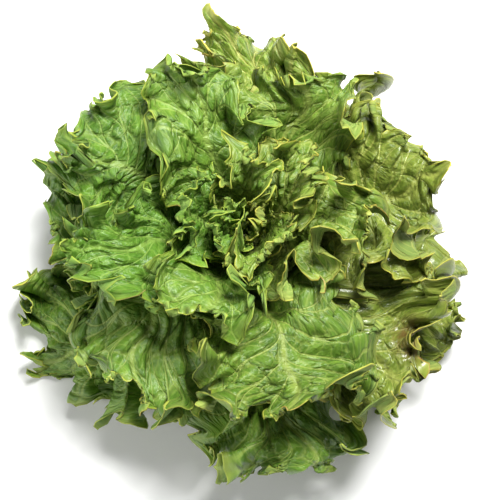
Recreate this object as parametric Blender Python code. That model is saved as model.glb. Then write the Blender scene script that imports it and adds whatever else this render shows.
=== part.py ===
"""Green leaf lettuce head: a cut stem that carries a rosette of frilled leaves, each its own solid.

Metres, +Z up. The origin is the middle of the stem's cut face, which stands on the table.
Every leaf lies on a layer of the rosette. A layer is a bowl, drawn by turning one arched line
round the stem: the outermost bowl is nearly flat and droops to the table, the innermost is a
narrow cup. A leaf is laid out flat first, with x across it, y along its midrib and h out of its
plane, and is then laid on its bowl. How far it may stand off the bowl is held to the room
between it and its neighbours, so that no two leaves cross.
"""

import math

import bpy
import numpy as np

MM = 0.001
SEED = 15
HEART_SEED = 515

# Stem
STEM_RADIUS = 16.0 * MM
STEM_TOP_RADIUS = 4.0 * MM
CUT_RADIUS = 14.0 * MM
CUT_BEVEL = 3.0 * MM
FIRST_LEAF_HEIGHT = 11.0 * MM
LAST_LEAF_HEIGHT = 50.0 * MM
STEM_ABOVE_LEAVES = 3.0 * MM
STEM_SIDES = 20
FIT_GAP = 0.8 * MM
FOOT_PLAY = 0.3 * MM

# Rosette
LAYER_REACH = 190 * MM
LAYER_STEPS = 190
OUTER_RISE = math.radians(25)
INNER_RISE = math.radians(87)
OUTER_DROOP = math.radians(100)
INNER_DROOP = math.radians(40)
RISE_POWER = 0.75
DROOP_POWER = 1.35
OUTER_LAYERS = 0.46
GOLDEN_ANGLE = math.radians(137.508)
FIRST_AZIMUTH = math.radians(212)
MOST_WRAP = math.radians(125)

# Heart leaves: the outermost and the innermost, and how far each may differ from the rule
HEART_LEAVES = 12
HEART_LENGTHS = (122 * MM, 60 * MM)
HEART_LENGTH_POWER = 1.3
HEART_HALF_WIDTHS = (60 * MM, 18 * MM)
HEART_LENGTH_PLAY = 0.06
HEART_WIDTH_PLAY = 0.07
HEART_TURN_PLAY = 0.12
HEART_DROOP_PLAY = math.radians(5)
HEART_BEND_PLAY = math.radians(9)
HEART_TILT_PLAY = 0.12

# Even outline of a leaf, in shares of its length or of the way round its margin
WIDEST_AT = 0.60
SHOULDER_POWER = 0.78
WAIST_DEPTH = 0.30
WAIST = (0.58, 0.86)
STALK_STARTS = (0.45, 0.90)
STALK_FLARE = 0.4
STALK_CURVE = 0.34

# Lobes and notches of the margin
OUTER_LOBES = 9
HEART_LOBES = 8
FEWER_LOBES = 3.4
KNOT_PLAY = 0.28
LOBE_REACH = (1.0 * MM, 9.0 * MM)
NOTCH_REACH = (-7.0 * MM, -2.5 * MM)
LOBE_BEND = (0.90, 1.70)
NOTCH_BEND = (-0.25, 0.25)
LOBES_IN_TURN = 0.85
FRILL_FADE = (0.60, 0.80)
BLADE_END = 0.76
STALK_KNOTS = 3

# The flow that crumples the whole head
FLOW_SEED = 6
FLOW_WAVES = 12
FLOW_WAVELENGTHS = (60 * MM, 100 * MM)
FLOW_SIZE = 11.0 * MM
FLOW_STEPS = 4
FLOW_OFF_STEM = (18 * MM, 55 * MM)
FLOW_OFF_TABLE = 22 * MM

# Room between leaves, and over the table
CLEARANCE = 1.8 * MM
MOST_PUSH = 4.0 * MM
OUTLINE_STEPS = 60
OPEN_AIR = 40 * MM
BOWL_OVER_TABLE = 5.0 * MM
LEAF_OVER_TABLE = 1.0 * MM
BESIDE_LEAF = (5 * MM, 20 * MM)
BEYOND_TIP = (8 * MM, 22 * MM)
OFF_STEM_SLOPE = 0.4
STEEPEST = 0.3
EASE_SHARE = 0.3
EASE = (0.05 * MM, 2 * MM)

# Blade and midrib
BLADE = 0.8 * MM
RIB_DEPTH = 3.2 * MM
RIB_WIDTH = 6.0 * MM
RIB_END_WIDTH = 1.5 * MM
RIB_POWER = 1.2
INNER_RIB_DEPTH = 0.45
INNER_RIB_WIDTH = 0.5
FOOT_SHARE = 0.38

# Rays of the blade
ROWS = (0.0, 0.14, 0.42, 0.74, 1.0)
RAY_STEPS = 40
LAST_RAY_START = 0.80
RAY_START_POWER = 1.25
RAY_SWEEP_POWER = 1.12
STRETCH_FROM = 0.55
EARLY_BEND = 0.35
EARLY_BEND_OVER = (0.2, 0.6)
LATE_BEND_OVER = (0.5, 1.0)

# Finishes
LEFT_GREEN = (0.09, 0.25, 0.03)
RIGHT_GREEN = (0.16, 0.24, 0.035)
HEART_GREEN = (0.27, 0.40, 0.07)
LEAF_ROUGHNESS = 0.42
STEM_CREAM = (0.70, 0.68, 0.42)
STEM_ROUGHNESS = 0.55
SHARP_EDGE = math.radians(50)

# The outer leaves from the lowest up: length and half width in millimetres, turn in degrees beyond
# the golden angle's, droop in degrees beyond their layer's own, sideways bend in degrees, and how
# steeply the blade rises from its one side to its other, in millimetres a millimetre.
OUTER_LEAVES = (
    (146, 68.5, 4.8, -4, -8, 0.08),
    (135, 78, -2.6, 7, -4, -0.08),
    (140, 60, 7.8, 20, 9, 0.06),
    (141, 73, 12.6, 0, 6, -0.05),
    (126, 72, 0, -3, -14, 0.1),
    (117, 69.5, -4.9, 0, 8, 0),
    (139, 66, 1.4, 3, 6, -0.1),
    (142, 67, -5.2, 0, 3, 0.08),
    (130, 66, -1.8, 2, 4, 0.08),
    (131, 67.5, -0.7, -2, 8, -0.12),
    (134, 68, -3.2, 2, 8, 0.08),
    (139, 64.5, -1.4, 3, 4, -0.06),
)


def smooth(low, high, x):
    """0 below low, 1 above high, and an even S between them."""
    u = np.clip((x - low) / (high - low), 0, 1)
    return u * u * (3 - 2 * u)


def layer_line(layer, droop):
    """Radius, height and slope along the arched line of one layer, eased flat over the table."""
    share = np.linspace(0, 1, LAYER_STEPS + 1)
    rise = OUTER_RISE + (INNER_RISE - OUTER_RISE) * layer**RISE_POWER
    turn = OUTER_DROOP + (INNER_DROOP - OUTER_DROOP) * layer + droop
    slope = rise - turn * share**DROOP_POWER
    middle = (slope[1:] + slope[:-1]) / 2
    step = LAYER_REACH / LAYER_STEPS
    radius = STEM_RADIUS + (STEM_TOP_RADIUS - STEM_RADIUS) * layer + FIT_GAP
    radius = radius + np.concatenate([[0], np.cumsum(np.cos(middle)) * step])
    height = FIRST_LEAF_HEIGHT + (LAST_LEAF_HEIGHT - FIRST_LEAF_HEIGHT) * layer
    height = height + np.concatenate([[0], np.cumsum(np.sin(middle)) * step])
    over = height - BOWL_OVER_TABLE
    height = BOWL_OVER_TABLE + (over + np.hypot(over, BOWL_OVER_TABLE)) / 2
    return {
        "reach": share * LAYER_REACH,
        "radius": radius,
        "height": height,
        "slope": np.arctan2(np.gradient(height), np.gradient(radius)),
    }


def on_line(line, y):
    """Radius, height and slope at the distance y from the stem."""
    return [np.interp(y, line["reach"], line[name]) for name in ("radius", "height", "slope")]


def outer_leaf(number):
    length, half_width, turn, droop, bend, tilt = OUTER_LEAVES[number]
    return {
        "name": "outer_leaf_%02d" % (number + 1),
        "layer": OUTER_LAYERS * number / len(OUTER_LEAVES),
        "shift": math.radians(turn),
        "length": length * MM,
        "half_width": half_width * MM,
        "droop": math.radians(droop),
        "bend": math.radians(bend),
        "tilt": tilt,
        "lobes": OUTER_LOBES,
    }


def heart_leaf(number):
    """A leaf of the heart. They are shorter and narrower towards the middle."""
    drawn = np.random.default_rng(HEART_SEED + number).uniform(-1, 1, 6)
    share = number / (HEART_LEAVES - 1)
    longest, shortest = HEART_LENGTHS
    widest, narrowest = HEART_HALF_WIDTHS
    length = longest + (shortest - longest) * share**HEART_LENGTH_POWER
    half_width = widest + (narrowest - widest) * share
    return {
        "name": "heart_leaf_%02d" % (number + 1),
        "layer": OUTER_LAYERS + (1 - OUTER_LAYERS) * share,
        "shift": HEART_TURN_PLAY * drawn[0],
        "length": length * (1 + HEART_LENGTH_PLAY * drawn[1]),
        "half_width": half_width * (1 + HEART_WIDTH_PLAY * drawn[2]),
        "droop": HEART_DROOP_PLAY * drawn[3],
        "bend": HEART_BEND_PLAY * drawn[4],
        "tilt": HEART_TILT_PLAY * drawn[5],
        "lobes": HEART_LOBES - int(FEWER_LOBES * share),
    }


def all_leaves():
    leaves = [outer_leaf(n) for n in range(len(OUTER_LEAVES))]
    leaves += [heart_leaf(n) for n in range(HEART_LEAVES)]
    for number, leaf in enumerate(leaves):
        leaf["number"] = number
        leaf["azimuth"] = FIRST_AZIMUTH + GOLDEN_ANGLE * number + leaf["shift"]
        leaf["line"] = layer_line(leaf["layer"], leaf["droop"])
        leaf["foot"] = FOOT_SHARE * leaf["line"]["radius"][0]
    for leaf in leaves:
        leaf["neighbours"] = [(other, *line_gap(leaf, other)) for other in leaves if other is not leaf]
    return leaves


def outline(leaf, s):
    """A point of the leaf's even outline: s is 0 at the tip and 1 where the stalk meets the stem."""
    turn = s * math.pi
    middle = WIDEST_AT * leaf["length"]
    y = middle + np.where(s < 0.5, leaf["length"] - middle, middle) * np.cos(turn)
    x = leaf["half_width"] * np.abs(np.sin(turn)) ** SHOULDER_POWER
    x = x * (1 - WAIST_DEPTH * smooth(*WAIST, s))
    x = np.hypot(x, leaf["foot"] * smooth(*STALK_STARTS, s))
    stalk = leaf["foot"] + STALK_FLARE * y + y**2 / (STALK_CURVE * leaf["length"])
    return x * stalk / (x**4 + stalk**4) ** 0.25, y


def knots(leaf):
    """The lobes and notches round one leaf: s, how far each reaches, and which way it is bent.

    An even knot is a lobe and an odd one the notch beside it. Neighbouring lobes are bent to
    opposite faces, which makes the frill.
    """
    rng = np.random.default_rng(SEED + leaf["number"])
    on_one_side = 2 * leaf["lobes"]
    half = on_one_side + STALK_KNOTS
    count = np.arange(-half, half + 1)
    on_blade = np.abs(count) <= on_one_side
    drift = rng.uniform(-KNOT_PLAY, KNOT_PLAY, len(count)) * on_blade
    drift[half] = 0
    share = (count + drift) / on_one_side
    beyond = (np.abs(count) - on_one_side) / STALK_KNOTS
    s = np.where(on_blade, share * BLADE_END, np.sign(count) * (BLADE_END + (1 - BLADE_END) * beyond))
    lobe = count % 2 == 0
    fade = 1 - smooth(*FRILL_FADE, np.abs(s))
    lobe_reach = rng.uniform(*LOBE_REACH, len(count))
    notch_reach = rng.uniform(*NOTCH_REACH, len(count))
    side = np.where(count % 4 == 0, 1, -1)
    side = np.where(rng.uniform(size=len(count)) < LOBES_IN_TURN, side, -side)
    lobe_bend = side * rng.uniform(*LOBE_BEND, len(count))
    notch_bend = rng.uniform(*NOTCH_BEND, len(count))
    reach = np.where(lobe, lobe_reach, notch_reach)
    return s, reach * fade, np.where(lobe, lobe_bend, notch_bend) * fade


def blade_rays(leaf, s, reach, bend, rows):
    """Each ray of the blade as x and y on the flattened leaf and h out of it.

    A ray starts on the midrib and runs to the margin, curved like a side vein. Its outer part is
    turned out of the leaf's plane by the bend of its lobe or notch.
    """
    x_rim, y_rim = outline(leaf, np.abs(s))
    x_rim = x_rim * np.sign(s)
    y_start = LAST_RAY_START * leaf["length"] * (1 - np.abs(s)) ** RAY_START_POWER
    t = np.array(rows)
    fine = np.linspace(0, 1, RAY_STEPS + 1)
    x_even = x_rim[:, None] * fine**RAY_SWEEP_POWER
    y_even = y_start[:, None] + (y_rim - y_start)[:, None] * (1 - (1 - fine) ** RAY_START_POWER)
    dx, dy = np.diff(x_even, axis=1), np.diff(y_even, axis=1)
    middle = (fine[1:] + fine[:-1]) / 2
    weight = smooth(STRETCH_FROM, 1, middle)
    stretch = 1 + reach[:, None] * weight / (weight * np.hypot(dx, dy)).sum(1)[:, None]
    early, late = smooth(*EARLY_BEND_OVER, middle), smooth(*LATE_BEND_OVER, middle)
    angle = bend[:, None] * (EARLY_BEND * early + (1 - EARLY_BEND) * late)
    flat = np.cos(angle) * stretch
    rise = np.sin(angle) * stretch * np.hypot(dx, dy)

    def summed(steps, start):
        whole = start[:, None] + np.concatenate([np.zeros((len(s), 1)), np.cumsum(steps, axis=1)], 1)
        return np.stack([np.interp(t, fine, ray) for ray in whole])

    zero = np.zeros(len(s))
    x = summed(dx * flat, zero)
    return x, summed(dy * flat, y_start), summed(rise, zero) + leaf["tilt"] * x


def turn_round(leaf, x, y):
    """Azimuth of a point of the flattened leaf. A wide leaf wraps the heart, but not all the way."""
    radius = on_line(leaf["line"], y)[0]
    wrap = MOST_WRAP * np.tanh(x / radius / MOST_WRAP)
    return leaf["azimuth"] + wrap + leaf["bend"] * (y / leaf["length"]) ** 2


def line_gap(leaf, other):
    """At each step of a leaf's line, how far off another leaf's line passes, and where on that line.

    The gap is positive where the other leaf is on the upper side.
    """
    line, far = leaf["line"], other["line"]
    dr = far["radius"][None, :] - line["radius"][:, None]
    dz = far["height"][None, :] - line["height"][:, None]
    nearest = np.argmin(np.hypot(dr, dz), axis=1)
    at = np.arange(len(nearest)), nearest
    above = dz[at] * np.cos(line["slope"]) - dr[at] * np.sin(line["slope"])
    return np.hypot(dr, dz)[at] * np.sign(above), far["reach"][nearest]


def rib_depth(leaf, x, y):
    """How far the midrib stands out below the blade."""
    along = np.clip(1 - y / leaf["length"], 0, 1)
    depth = RIB_DEPTH * (1 - (1 - INNER_RIB_DEPTH) * leaf["layer"]) * along**RIB_POWER
    width = RIB_WIDTH * (1 - (1 - INNER_RIB_WIDTH) * leaf["layer"]) * along + RIB_END_WIDTH
    return depth * np.exp(-((x / width) ** 2))


def seen_from(other, azimuth, y, radius):
    """How far a point lies beside another leaf's midrib, and how well that leaf covers it.

    The cover is 1 well inside the other leaf's outline and 0 well outside.
    """
    x_rim, y_rim = outline(other, np.linspace(1, 0, OUTLINE_STEPS))
    centre = other["azimuth"] + other["bend"] * (y / other["length"]) ** 2
    off = np.abs((azimuth - centre + math.pi) % (2 * math.pi) - math.pi) * radius
    beside = 1 - smooth(*BESIDE_LEAF, off - np.interp(y, y_rim, x_rim))
    return off, beside * (1 - smooth(*BEYOND_TIP, y - other["length"]))


def room(leaf, azimuth, x, y):
    """The least and most that a point may stand off its layer, short of the table and the next leaf."""
    radius, height, slope = on_line(leaf["line"], y)
    own_rib = rib_depth(leaf, x, y)
    least = -(height - LEAF_OVER_TABLE - BLADE - own_rib) / np.maximum(np.cos(slope), STEEPEST)
    most = np.full(y.shape, OPEN_AIR)
    for other, gap, beside in leaf["neighbours"]:
        gap_here = np.interp(y, leaf["line"]["reach"], gap)
        y_there = np.interp(y, leaf["line"]["reach"], beside)
        off, covered = seen_from(other, azimuth, y_there, radius)
        open_air = (1 - covered) * OPEN_AIR
        if other["number"] > leaf["number"]:
            apart = CLEARANCE + rib_depth(other, off, y_there)
            most = np.minimum(most, np.maximum((gap_here - apart) / 2, -MOST_PUSH) + open_air)
        else:
            apart = CLEARANCE + own_rib
            least = np.maximum(least, np.minimum((gap_here + apart) / 2, MOST_PUSH) - open_air)
    off_stem = FOOT_PLAY + OFF_STEM_SLOPE * y
    return np.minimum(least, off_stem), np.minimum(most, off_stem)


def held_within(h, least, most):
    """h eased so that it keeps between the least and the most that there is room for."""
    ease = np.clip(EASE_SHARE * (most - least), *EASE)
    below = most - ease * np.logaddexp(0, (most - h) / ease)
    return least + ease * np.logaddexp(0, (below - least) / ease)


def flow_waves():
    """Run, push and phase of the waves of the flow. Each wave pushes across its own run."""
    rng = np.random.default_rng(FLOW_SEED)
    run = rng.normal(size=(FLOW_WAVES, 3))
    run /= np.linalg.norm(run, axis=1)[:, None]
    push = np.cross(run, rng.normal(size=(FLOW_WAVES, 3)))
    push *= FLOW_SIZE / np.linalg.norm(push, axis=1)[:, None] / math.sqrt(FLOW_WAVES / 2)
    run *= 2 * math.pi / rng.uniform(*FLOW_WAVELENGTHS, FLOW_WAVES)[:, None]
    return run, push, rng.uniform(0, 2 * math.pi, FLOW_WAVES)


def crumpled(points):
    """Points carried a few steps along the flow, which fades out at the stem and at the table.

    Leaves that are packed together crumple together, and a flow can't make one cross another.
    """
    run, push, phase = flow_waves()
    shape = points.shape
    points = points.reshape(-1, 3)
    for _ in range(FLOW_STEPS):
        move = np.cos(points @ run.T + phase) @ push / FLOW_STEPS
        move *= smooth(*FLOW_OFF_STEM, np.hypot(points[:, 0], points[:, 1]))[:, None]
        move[:, 2] *= smooth(0, FLOW_OFF_TABLE, points[:, 2])
        points = points + move
    return points.reshape(shape)


def leaf_surface(leaf):
    """World positions of the upper face of a leaf, and where each lies on the flattened leaf."""
    s, reach, bend = knots(leaf)
    x, y, h = blade_rays(leaf, s, reach, bend, ROWS)
    azimuth = turn_round(leaf, x, y)
    least, most = room(leaf, azimuth, x, y)
    h = held_within(h, least, most)
    radius, height, slope = on_line(leaf["line"], y)
    radius = radius - h * np.sin(slope)
    height = height + h * np.cos(slope)
    points = np.stack([radius * np.cos(azimuth), radius * np.sin(azimuth), height], -1)
    return crumpled(points), x, y


def leaf_grid(columns, rows):
    """Vertex numbers of the grid of rays. Both halves of the leaf share the midrib's vertices."""
    number = np.arange(columns * rows).reshape(columns, rows)
    for column in range(columns // 2):
        number[column, 0] = number[columns - 1 - column, 0]
    used, packed = np.unique(number, return_inverse=True)
    return packed.reshape(columns, rows), used


def leaf_mesh(leaf):
    """Vertices and triangles of the leaf's solid, with both faces split alike."""
    points, x, y = leaf_surface(leaf)
    columns, rows = x.shape
    number, used = leaf_grid(columns, rows)
    upper = points.reshape(-1, 3)[used]
    x, y = x.ravel()[used], y.ravel()[used]
    faces = []
    for c in range(columns - 1):
        for r in range(rows - 1):
            a, b = number[c, r], number[c + 1, r]
            d, e = number[c, r + 1], number[c + 1, r + 1]
            faces += [(a, e, b), (a, d, e)] if (c + r) % 2 else [(a, d, b), (b, d, e)]
    faces = np.array(faces)
    across = np.cross(upper[faces[:, 1]] - upper[faces[:, 0]], upper[faces[:, 2]] - upper[faces[:, 0]])
    normal = np.zeros_like(upper)
    for corner in range(3):
        np.add.at(normal, faces[:, corner], across)
    normal /= np.linalg.norm(normal, axis=1)[:, None]
    lower = upper - normal * (BLADE + rib_depth(leaf, x, y))[:, None]
    rim = [number[c, rows - 1] for c in range(columns)]
    rim += [number[columns - 1, r] for r in range(rows - 2, -1, -1)]
    rim += [number[0, r] for r in range(1, rows - 1)]
    below = len(upper)
    solid = [tuple(f) for f in faces]
    solid += [(f[0] + below, f[2] + below, f[1] + below) for f in faces]
    for a, b in zip(rim, rim[1:] + rim[:1]):
        solid += [(a, b + below, b), (a, a + below, b + below)]
    return np.vstack([upper, lower]), solid


def stem_mesh():
    """A turned solid: a flat cut face, a straight neck below the leaves and a cone among them."""
    profile = (
        (CUT_RADIUS, 0),
        (STEM_RADIUS, CUT_BEVEL),
        (STEM_RADIUS, FIRST_LEAF_HEIGHT),
        (STEM_TOP_RADIUS, LAST_LEAF_HEIGHT),
        (STEM_TOP_RADIUS / 2, LAST_LEAF_HEIGHT + STEM_ABOVE_LEAVES),
    )
    vertices = []
    for radius, height in profile:
        for side in range(STEM_SIDES):
            turn = 2 * math.pi * side / STEM_SIDES
            vertices.append((radius * math.cos(turn), radius * math.sin(turn), height))
    faces = [tuple(reversed(range(STEM_SIDES)))]
    for ring in range(len(profile) - 1):
        for side in range(STEM_SIDES):
            here = ring * STEM_SIDES + side
            beside = ring * STEM_SIDES + (side + 1) % STEM_SIDES
            faces.append((here, beside, beside + STEM_SIDES, here + STEM_SIDES))
    top = (len(profile) - 1) * STEM_SIDES
    faces.append(tuple(range(top, top + STEM_SIDES)))
    return vertices, faces


def leaf_colour(leaf):
    """Fresh green on the left, olive on the right, and lighter towards the heart."""
    to_right = 0.5 + 0.5 * math.cos(leaf["azimuth"])
    outer = np.array(LEFT_GREEN) + (np.array(RIGHT_GREEN) - LEFT_GREEN) * to_right
    return tuple(outer + (HEART_GREEN - outer) * leaf["layer"] ** 2)


def add_object(name, vertices, faces, colour, roughness):
    mesh = bpy.data.meshes.new(name)
    mesh.from_pydata(vertices, [], faces)
    finish = bpy.data.materials.new(name)
    finish.use_nodes = True
    shader = finish.node_tree.nodes["Principled BSDF"]
    shader.inputs["Base Color"].default_value = (*colour, 1)
    shader.inputs["Roughness"].default_value = roughness
    shader.inputs["Metallic"].default_value = 0
    mesh.materials.append(finish)
    mesh.shade_smooth()
    mesh.set_sharp_from_angle(angle=SHARP_EDGE)
    bpy.context.scene.collection.objects.link(bpy.data.objects.new(name, mesh))


def main():
    for old in list(bpy.data.objects):
        bpy.data.objects.remove(old)
    add_object("stem", *stem_mesh(), STEM_CREAM, STEM_ROUGHNESS)
    for leaf in all_leaves():
        vertices, faces = leaf_mesh(leaf)
        add_object(leaf["name"], vertices.tolist(), faces, leaf_colour(leaf), LEAF_ROUGHNESS)


if __name__ == "__main__":
    main()
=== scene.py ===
# %% [markdown]
# # A head of green leaf lettuce
#
# The real thing is a short stem with two dozen leaves round it. Each leaf is a thin blade with a
# pale midrib, side veins, blisters between the veins and a torn, frilled margin. The CAD model has
# every leaf as a coarse solid. Here each one is made again from the same curves with many more
# points, so that it keeps its place and its form and gains teeth, fine ruffles, blisters and veins.

import math

import bpy
import numpy as np
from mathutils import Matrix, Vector


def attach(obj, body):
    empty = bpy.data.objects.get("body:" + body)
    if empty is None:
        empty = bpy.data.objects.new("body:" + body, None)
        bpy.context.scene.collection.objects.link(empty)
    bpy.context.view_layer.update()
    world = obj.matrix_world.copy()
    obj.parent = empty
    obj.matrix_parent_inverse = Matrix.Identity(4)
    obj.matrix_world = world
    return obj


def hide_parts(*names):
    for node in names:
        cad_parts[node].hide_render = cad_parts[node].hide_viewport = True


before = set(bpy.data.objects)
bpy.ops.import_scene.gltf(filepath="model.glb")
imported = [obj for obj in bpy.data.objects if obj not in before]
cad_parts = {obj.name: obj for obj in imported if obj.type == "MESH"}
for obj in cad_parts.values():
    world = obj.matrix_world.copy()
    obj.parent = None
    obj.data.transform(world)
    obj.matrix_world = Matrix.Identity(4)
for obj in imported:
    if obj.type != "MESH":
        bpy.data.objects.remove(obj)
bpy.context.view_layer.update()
print("CAD nodes:", len(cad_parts))

# %% [markdown]
# ## The layers of the head
#
# A head like this is a nest of bowls. The lowest leaves lie almost flat and droop to the table, and
# the inner ones stand up and close round the heart. One arched line describes each bowl: it is
# turned round the stem, and a leaf is laid on it. The line is summed up from short steps whose
# slope falls along the way, which gives the arch without any drawn curve.

# %% Layer lines
MM = 0.001
SEED = 15
STEM_RADIUS = 16.0 * MM
STEM_TOP_RADIUS = 4.0 * MM
CUT_RADIUS = 14.0 * MM
CUT_BEVEL = 3.0 * MM
FIRST_LEAF_HEIGHT = 11.0 * MM
LAST_LEAF_HEIGHT = 50.0 * MM
STEM_ABOVE_LEAVES = 3.0 * MM
FIT_GAP = 0.8 * MM
LAYER_REACH = 190 * MM
LAYER_STEPS = 190
OUTER_RISE = math.radians(25)
INNER_RISE = math.radians(87)
OUTER_DROOP = math.radians(100)
INNER_DROOP = math.radians(40)
RISE_POWER = 0.75
DROOP_POWER = 1.35
BOWL_OVER_TABLE = 5.0 * MM


def smooth(low, high, x):
    """0 below low, 1 above high, and an even S between them."""
    u = np.clip((x - low) / (high - low), 0, 1)
    return u * u * (3 - 2 * u)


def layer_line(layer, droop):
    """Radius, height and slope along the arched line of one layer, eased flat over the table."""
    share = np.linspace(0, 1, LAYER_STEPS + 1)
    rise = OUTER_RISE + (INNER_RISE - OUTER_RISE) * layer**RISE_POWER
    turn = OUTER_DROOP + (INNER_DROOP - OUTER_DROOP) * layer + droop
    slope = rise - turn * share**DROOP_POWER
    middle = (slope[1:] + slope[:-1]) / 2
    step = LAYER_REACH / LAYER_STEPS
    radius = STEM_RADIUS + (STEM_TOP_RADIUS - STEM_RADIUS) * layer + FIT_GAP
    radius = radius + np.concatenate([[0], np.cumsum(np.cos(middle)) * step])
    height = FIRST_LEAF_HEIGHT + (LAST_LEAF_HEIGHT - FIRST_LEAF_HEIGHT) * layer
    height = height + np.concatenate([[0], np.cumsum(np.sin(middle)) * step])
    over = height - BOWL_OVER_TABLE
    height = BOWL_OVER_TABLE + (over + np.hypot(over, BOWL_OVER_TABLE)) / 2
    slope = np.arctan2(np.gradient(height), np.gradient(radius))
    return {"reach": share * LAYER_REACH, "radius": radius, "height": height, "slope": slope}


def on_line(line, y):
    """Radius, height and slope at the distance y from the stem."""
    return [np.interp(y, line["reach"], line[name]) for name in ("radius", "height", "slope")]


lowest = layer_line(0, 0)
print("the lowest layer rises to %.0f mm" % (lowest["height"].max() / MM))

# %% [markdown]
# ## The leaves
#
# New leaves come up about 137.5 degrees round from the one before, so no two lie exactly over each
# other. The twelve outer leaves are listed one by one, because they decide the outline of the head.
# The twelve of the heart follow a rule, with small seeded differences.

# %% Leaf list
OUTER_LAYERS = 0.46
GOLDEN_ANGLE = math.radians(137.508)
FIRST_AZIMUTH = math.radians(212)
FOOT_SHARE = 0.38
OUTER_LOBES = 9
HEART_LOBES = 8
FEWER_LOBES = 3.4

# Length and half width in millimetres, turn, droop and sideways bend in degrees, and tilt.
OUTER_LEAVES = (
    (146, 68.5, 4.8, -4, -8, 0.08),
    (135, 78, -2.6, 7, -4, -0.08),
    (140, 60, 7.8, 20, 9, 0.06),
    (141, 73, 12.6, 0, 6, -0.05),
    (126, 72, 0, -3, -14, 0.1),
    (117, 69.5, -4.9, 0, 8, 0),
    (139, 66, 1.4, 3, 6, -0.1),
    (142, 67, -5.2, 0, 3, 0.08),
    (130, 66, -1.8, 2, 4, 0.08),
    (131, 67.5, -0.7, -2, 8, -0.12),
    (134, 68, -3.2, 2, 8, 0.08),
    (139, 64.5, -1.4, 3, 4, -0.06),
)

# Sizes of the outermost and of the innermost heart leaf. Then how far a leaf may differ from the
# rule, in turn, share of its length and width, droop, bend and tilt.
HEART_LEAVES = 12
HEART_SEED = 515
HEART_LENGTHS = (122 * MM, 60 * MM)
HEART_LENGTH_POWER = 1.3
HEART_HALF_WIDTHS = (60 * MM, 18 * MM)
HEART_PLAY = (0.12, 0.06, 0.07, math.radians(5), math.radians(9), 0.12)


def outer_leaf(number):
    length, half_width, turn, droop, bend, tilt = OUTER_LEAVES[number]
    return {
        "name": "outer_leaf_%02d" % (number + 1),
        "layer": OUTER_LAYERS * number / len(OUTER_LEAVES),
        "shift": math.radians(turn),
        "length": length * MM,
        "half_width": half_width * MM,
        "droop": math.radians(droop),
        "bend": math.radians(bend),
        "tilt": tilt,
        "lobes": OUTER_LOBES,
    }


def heart_leaf(number):
    """A leaf of the heart. They are shorter and narrower towards the middle."""
    drawn = np.random.default_rng(HEART_SEED + number).uniform(-1, 1, len(HEART_PLAY))
    turn, longer, wider, droop, bend, tilt = drawn * HEART_PLAY
    share = number / (HEART_LEAVES - 1)
    longest, shortest = HEART_LENGTHS
    widest, narrowest = HEART_HALF_WIDTHS
    length = longest + (shortest - longest) * share**HEART_LENGTH_POWER
    return {
        "name": "heart_leaf_%02d" % (number + 1),
        "layer": OUTER_LAYERS + (1 - OUTER_LAYERS) * share,
        "shift": turn,
        "length": length * (1 + longer),
        "half_width": (widest + (narrowest - widest) * share) * (1 + wider),
        "droop": droop,
        "bend": bend,
        "tilt": tilt,
        "lobes": HEART_LOBES - int(FEWER_LOBES * share),
    }


def line_gap(leaf, other):
    """How far off another leaf's line passes at each step, and where on that line."""
    line, far = leaf["line"], other["line"]
    dr = far["radius"][None, :] - line["radius"][:, None]
    dz = far["height"][None, :] - line["height"][:, None]
    nearest = np.argmin(np.hypot(dr, dz), axis=1)
    at = np.arange(len(nearest)), nearest
    above = dz[at] * np.cos(line["slope"]) - dr[at] * np.sin(line["slope"])
    return np.hypot(dr, dz)[at] * np.sign(above), far["reach"][nearest]


def all_leaves():
    leaves = [outer_leaf(n) for n in range(len(OUTER_LEAVES))]
    leaves += [heart_leaf(n) for n in range(HEART_LEAVES)]
    for number, leaf in enumerate(leaves):
        leaf["number"] = number
        leaf["azimuth"] = FIRST_AZIMUTH + GOLDEN_ANGLE * number + leaf["shift"]
        leaf["line"] = layer_line(leaf["layer"], leaf["droop"])
        leaf["foot"] = FOOT_SHARE * leaf["line"]["radius"][0]
    for leaf in leaves:
        others = [other for other in leaves if other is not leaf]
        leaf["neighbours"] = [(other, *line_gap(leaf, other)) for other in others]
    return leaves


leaves = all_leaves()
print("leaves:", len(leaves), "from", leaves[0]["name"], "to", leaves[-1]["name"])

# %% [markdown]
# ## The outline and the frill
#
# A leaf is first drawn flat: x across it, y along the midrib and h out of its plane. Its even
# outline is a rounded paddle. Knots round the outline say where the lobes and notches are, how far
# each reaches, and whether it is bent up or down. Neighbouring lobes bend opposite ways, because
# the margin of a real leaf grows longer than the blade inside it and has to ruffle.

# %% Outline
# The even outline, in shares of the leaf's length or of the way round its margin.
WIDEST_AT = 0.60
SHOULDER_POWER = 0.78
WAIST_DEPTH = 0.30
WAIST = (0.58, 0.86)
STALK_STARTS = (0.45, 0.90)
STALK_FLARE = 0.4
STALK_CURVE = 0.34


def outline(leaf, s):
    """A point of the even outline: s is 0 at the tip and 1 where the stalk meets the stem."""
    turn = s * math.pi
    middle = WIDEST_AT * leaf["length"]
    y = middle + np.where(s < 0.5, leaf["length"] - middle, middle) * np.cos(turn)
    x = leaf["half_width"] * np.abs(np.sin(turn)) ** SHOULDER_POWER
    x = x * (1 - WAIST_DEPTH * smooth(*WAIST, s))
    x = np.hypot(x, leaf["foot"] * smooth(*STALK_STARTS, s))
    stalk = leaf["foot"] + STALK_FLARE * y + y**2 / (STALK_CURVE * leaf["length"])
    return x * stalk / (x**4 + stalk**4) ** 0.25, y


widest = outline(leaves[0], np.array([0.3]))[0][0]
print("half width of the first leaf near its widest: %.0f mm" % (widest / MM))

# %% Knots
STALK_KNOTS = 3
BLADE_END = 0.76
KNOT_PLAY = 0.28
LOBE_REACH = (1.0 * MM, 9.0 * MM)
NOTCH_REACH = (-7.0 * MM, -2.5 * MM)
LOBE_BEND = (0.90, 1.70)
NOTCH_BEND = (-0.25, 0.25)
LOBES_IN_TURN = 0.85
FRILL_FADE = (0.60, 0.80)


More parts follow.
